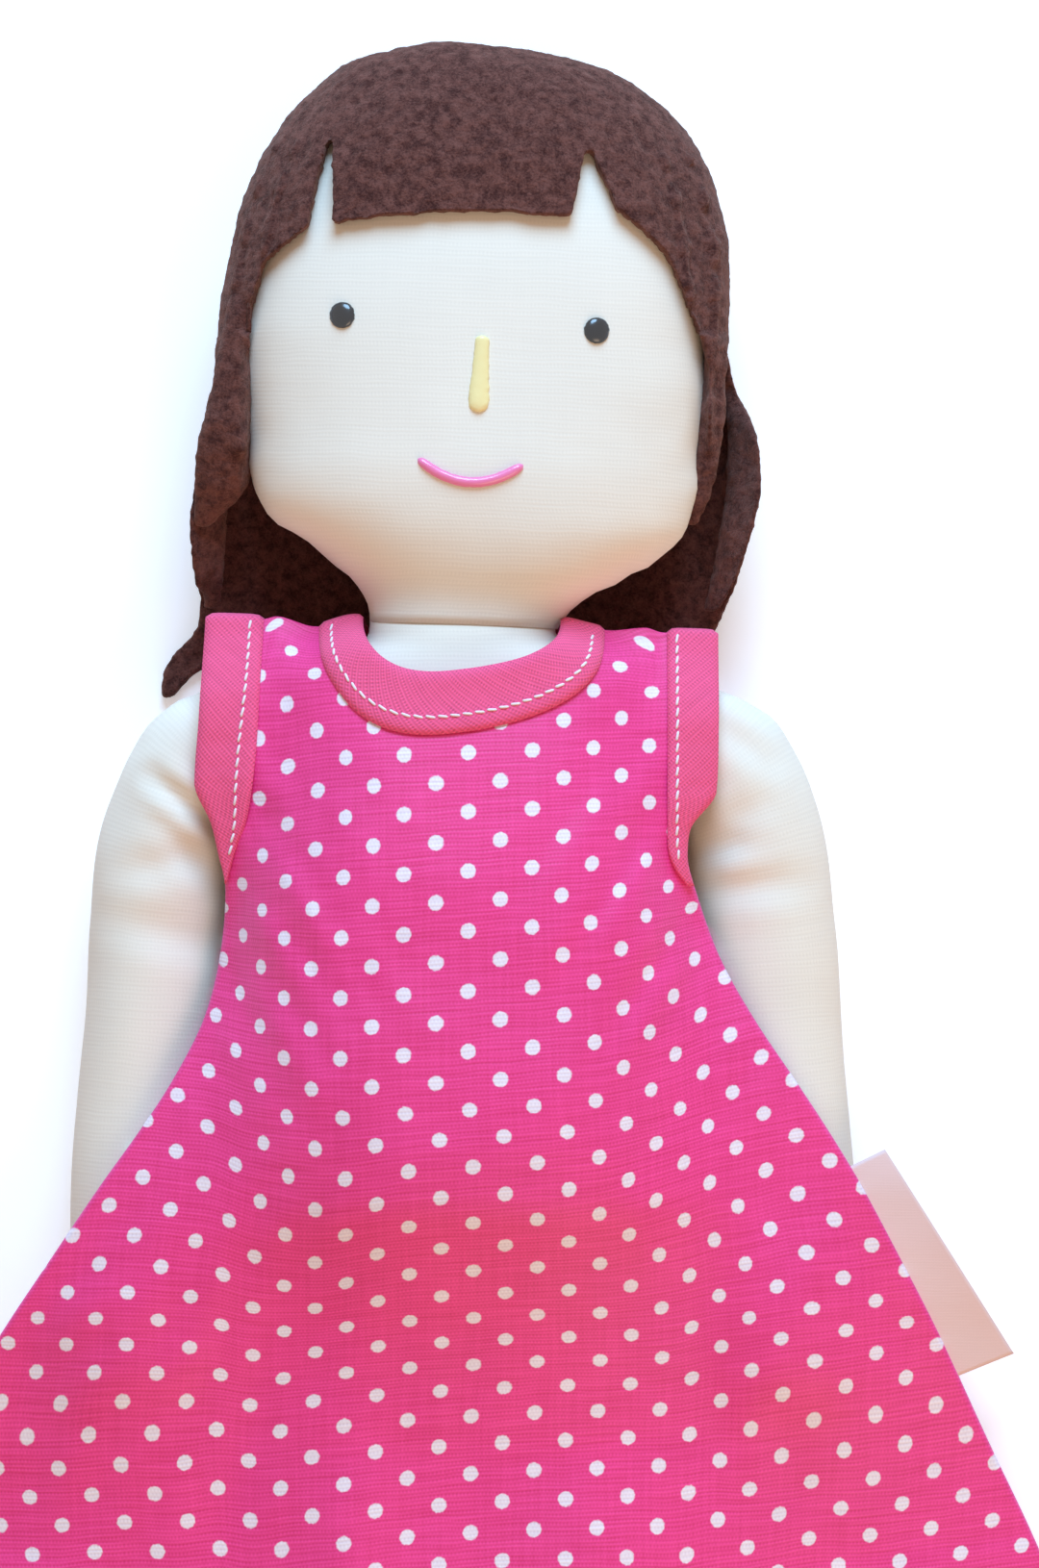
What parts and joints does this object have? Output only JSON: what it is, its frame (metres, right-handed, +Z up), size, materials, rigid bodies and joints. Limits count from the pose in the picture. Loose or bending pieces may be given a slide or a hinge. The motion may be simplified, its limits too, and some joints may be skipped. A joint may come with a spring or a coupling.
{
  "type": "rag doll",
  "caption": "Soft stuffed rag doll lying on its back, with fleece hair, a painted face and a flared, dotted, sleeveless dress that closes behind.",
  "frame": {"origin": "middle of the whole doll's box, on the surface that it lies on", "axes": "+X across the doll towards the label side, +Y from the feet towards the head, +Z up out of the chest"},
  "size_m": [0.2592, 0.459, 0.0523],
  "materials": {
    "cotton_skin": "plain-woven cream cotton, stuffed firm",
    "fleece_hair": "dark brown fleece with a short fuzzy nap",
    "pink_cotton": "bright pink cotton with small pale dots",
    "pink_binding": "plain salmon pink bias binding, stitched in white",
    "black_paint": "raised glossy black fabric paint",
    "nose_paint": "raised pale yellow fabric paint",
    "lip_paint": "raised glossy pink fabric paint",
    "label_satin": "pale pink satin ribbon, bare",
    "snap_nylon": "off-white moulded nylon"
  },
  "bodies": {
    "dressed_torso": {"torso": "cotton_skin", "dress_front": "pink_cotton", "dress_back_left": "pink_cotton", "dress_back_right": "pink_cotton", "neck_binding": "pink_binding", "left_armhole_binding": "pink_binding", "right_armhole_binding": "pink_binding", "side_label": "label_satin", "back_placket": "pink_cotton", "snap_socket": "snap_nylon", "snap_cap": "snap_nylon"},
    "haired_head": {"head": "cotton_skin", "hair_front": "fleece_hair", "hair_back": "fleece_hair", "left_eye": "black_paint", "right_eye": "black_paint", "nose": "nose_paint", "mouth": "lip_paint"},
    "arm_left": {"left_arm": "cotton_skin"},
    "arm_right": {"right_arm": "cotton_skin"},
    "leg_left": {"left_leg": "cotton_skin"},
    "leg_right": {"right_leg": "cotton_skin"}
  },
  "joints": [
    {"name": "neck_nod", "type": "hinge", "parent": "dressed_torso", "child": "haired_head", "pos_m": [0.00037, 0.09947, 0.025], "axis": [1, 0, 0], "range_deg": [-15, 30], "deforming": ["hair_back", "neck_binding"]},
    {"name": "left_shoulder", "type": "hinge", "parent": "dressed_torso", "child": "arm_left", "pos_m": [-0.03613, 0.09647, 0.022], "axis": [0, 0, -1], "range_deg": [0, 65], "deforming": ["left_armhole_binding"]},
    {"name": "right_shoulder", "type": "hinge", "parent": "dressed_torso", "child": "arm_right", "pos_m": [0.03687, 0.09647, 0.022], "axis": [0, 0, 1], "range_deg": [0, 65], "deforming": ["right_armhole_binding", "side_label"]},
    {"name": "left_hip", "type": "hinge", "parent": "dressed_torso", "child": "leg_left", "pos_m": [-0.02063, -0.04353, 0.011], "axis": [-1, 0, 0], "range_deg": [-25, 85], "deforming": ["dress_front", "dress_back_left"]},
    {"name": "right_hip", "type": "hinge", "parent": "dressed_torso", "child": "leg_right", "pos_m": [0.02137, -0.04353, 0.011], "axis": [-1, 0, 0], "range_deg": [-25, 85], "deforming": ["dress_back_right"]}
  ]
}
